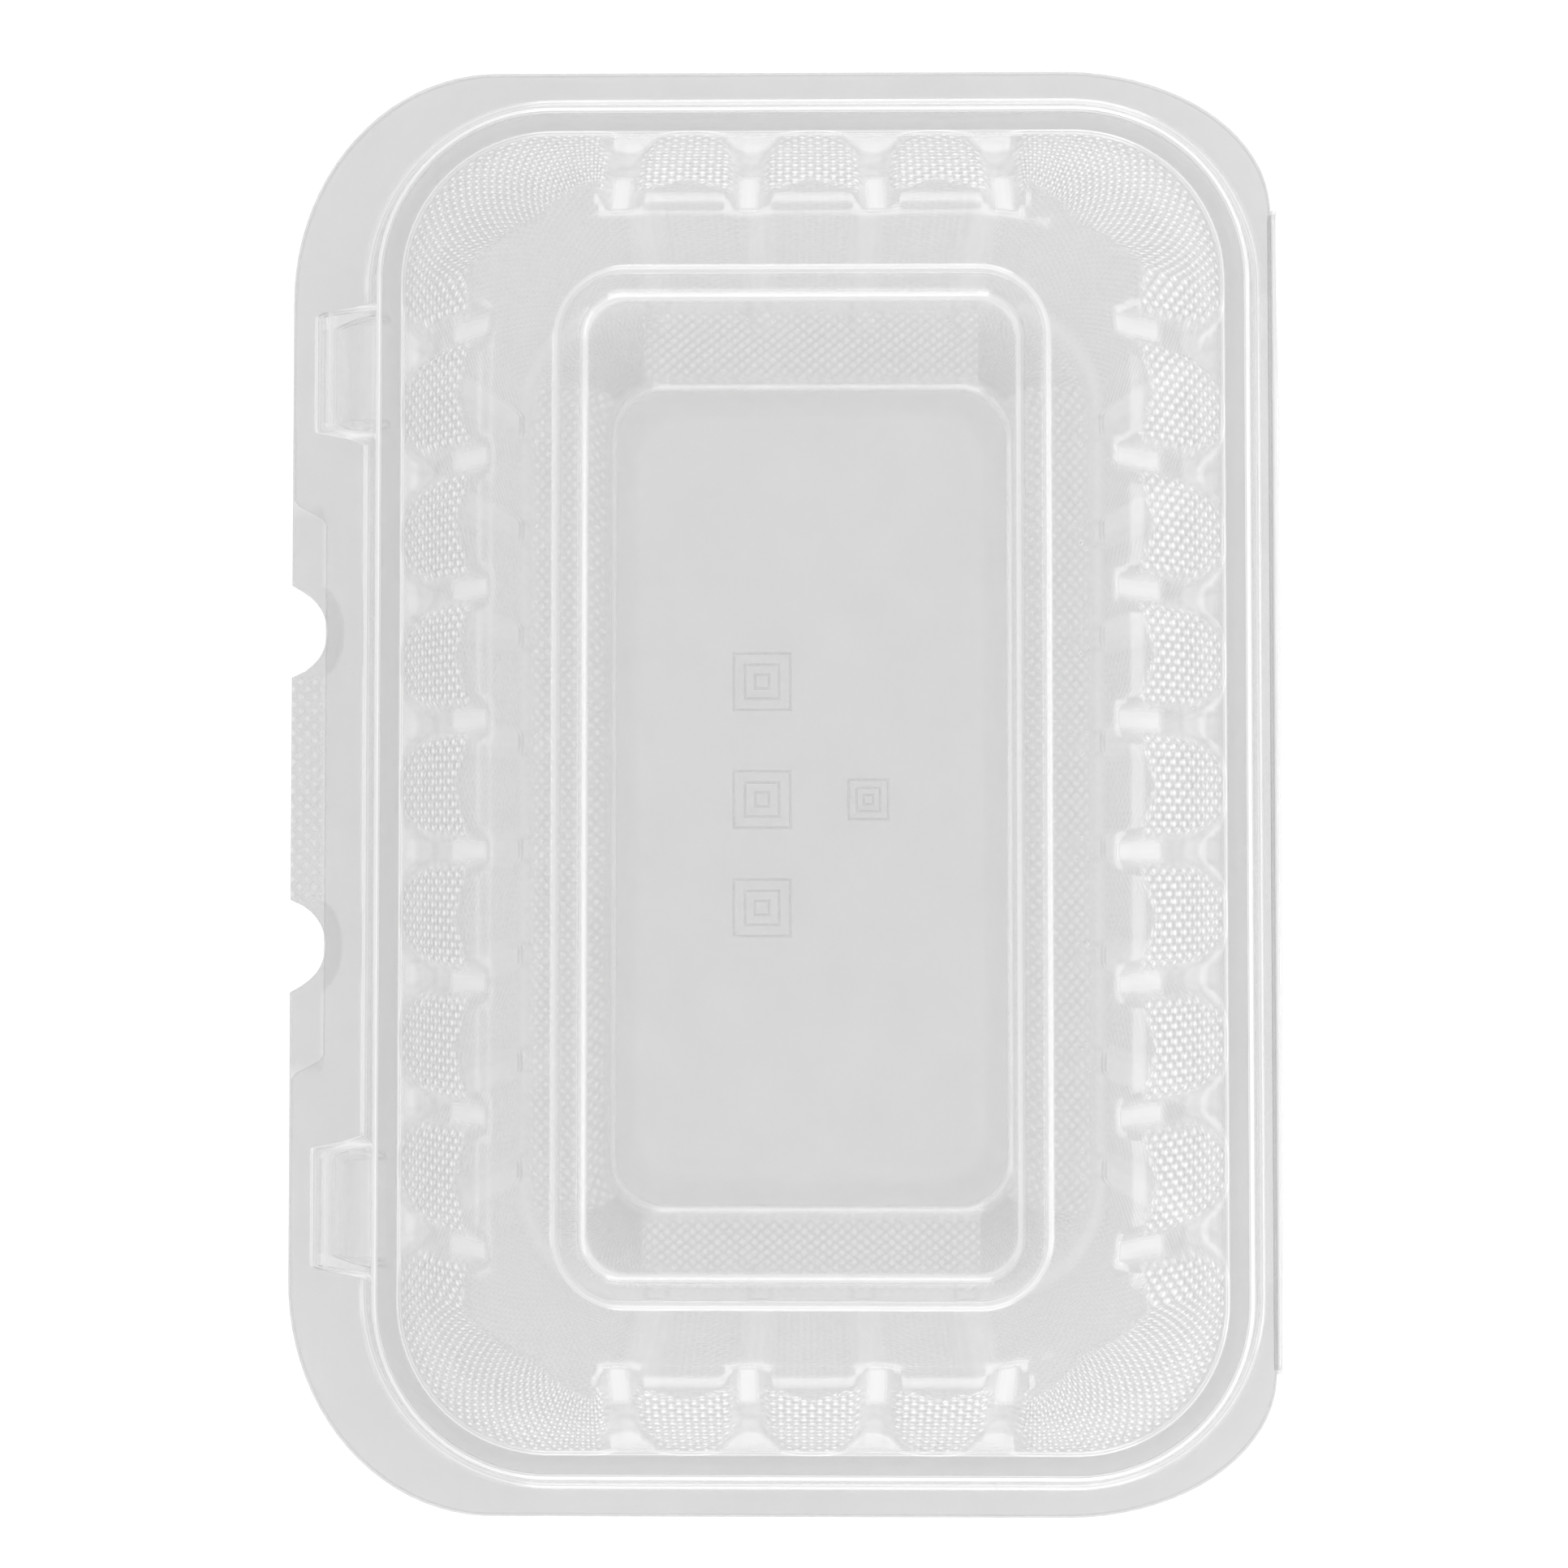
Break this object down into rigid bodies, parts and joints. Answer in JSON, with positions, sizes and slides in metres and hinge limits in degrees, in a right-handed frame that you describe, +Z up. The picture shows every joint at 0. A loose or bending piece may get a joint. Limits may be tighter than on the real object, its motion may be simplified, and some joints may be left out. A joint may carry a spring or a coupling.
{
  "type": "hinged-lid food container",
  "caption": "Clear formed plastic container: deep ribbed tray and shallow ribbed dome lid, joined along one long side by a living hinge, with a front opening tab and snap blisters.",
  "frame": {"origin": "on the surface the container stands on, under the middle of the closed container's whole outline", "axes": "+X along the long side, -Y is the front with the opening tab and the snaps, +Y is the hinge side, +Z up"},
  "size_m": [0.187, 0.1284, 0.0729],
  "materials": {
    "clear_tray": "clear formed polypropylene, slightly milky, fine diamond texture on the walls",
    "clear_lid": "clear formed polypropylene, gloss on the flat top, fine diamond texture on the sloped walls",
    "clear_hinge": "clear formed polypropylene, pressed thin, smooth"
  },
  "bodies": {
    "tray": {"base_tray": "clear_tray", "hinge_web": "clear_hinge"},
    "lid": {"lid_cover": "clear_lid"}
  },
  "joints": [
    {"name": "lid_hinge", "type": "hinge", "parent": "tray", "child": "lid", "pos_m": [0, 0.06425, 0.0501], "axis": [-1, 0, 0], "range_deg": [0, 180], "deforming": ["hinge_web"]}
  ]
}
